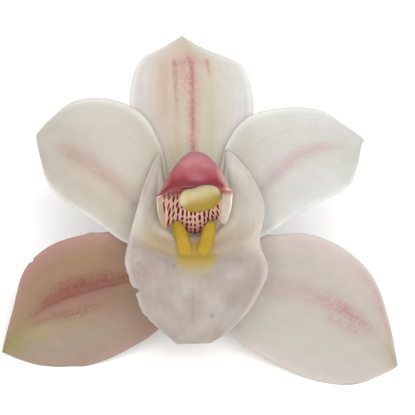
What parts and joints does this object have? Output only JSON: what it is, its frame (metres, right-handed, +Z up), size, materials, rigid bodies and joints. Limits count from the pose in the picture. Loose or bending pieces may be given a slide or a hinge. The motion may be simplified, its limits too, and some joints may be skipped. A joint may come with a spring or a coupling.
{
  "type": "cymbidium orchid bloom",
  "caption": "Cymbidium orchid bloom as picked, facing up at a slant on its lower sepals and cut stalk, with spotted hooded column and ridged lip.",
  "frame": {"origin": "middle of the bloom's footprint, on the surface that it rests on", "axes": "+Z up, +X to the viewer's right along the line between the lateral sepals' tips, the flower's face looks towards -Y and up"},
  "size_m": [0.1, 0.0616, 0.0689],
  "materials": {
    "dorsal_sepal": "waxy cream sepal with a rose line along the middle",
    "petals": "waxy white petal with a faint speckled rose stripe",
    "blushed_sepal": "waxy tan sepal with a rose margin and a dusky rose band",
    "pale_sepal": "waxy cream sepal with a rose margin and band",
    "lip": "pale pink lip with a beige throat and yellow ridges",
    "column": "rose hood, pale wings, dark red dashes on the hollow face",
    "anther_cap": "waxy cream cap shading to golden yellow",
    "ovary": "pale green ribbed ovary and stalk with a rose tinge"
  },
  "bodies": {
    "root": {"dorsal_sepal": "dorsal_sepal", "petal_left": "petals", "petal_right": "petals", "lateral_sepal_left": "blushed_sepal", "lateral_sepal_right": "pale_sepal", "lip": "lip", "column": "column", "anther_cap": "anther_cap", "ovary_stalk": "ovary"}
  },
  "joints": []
}
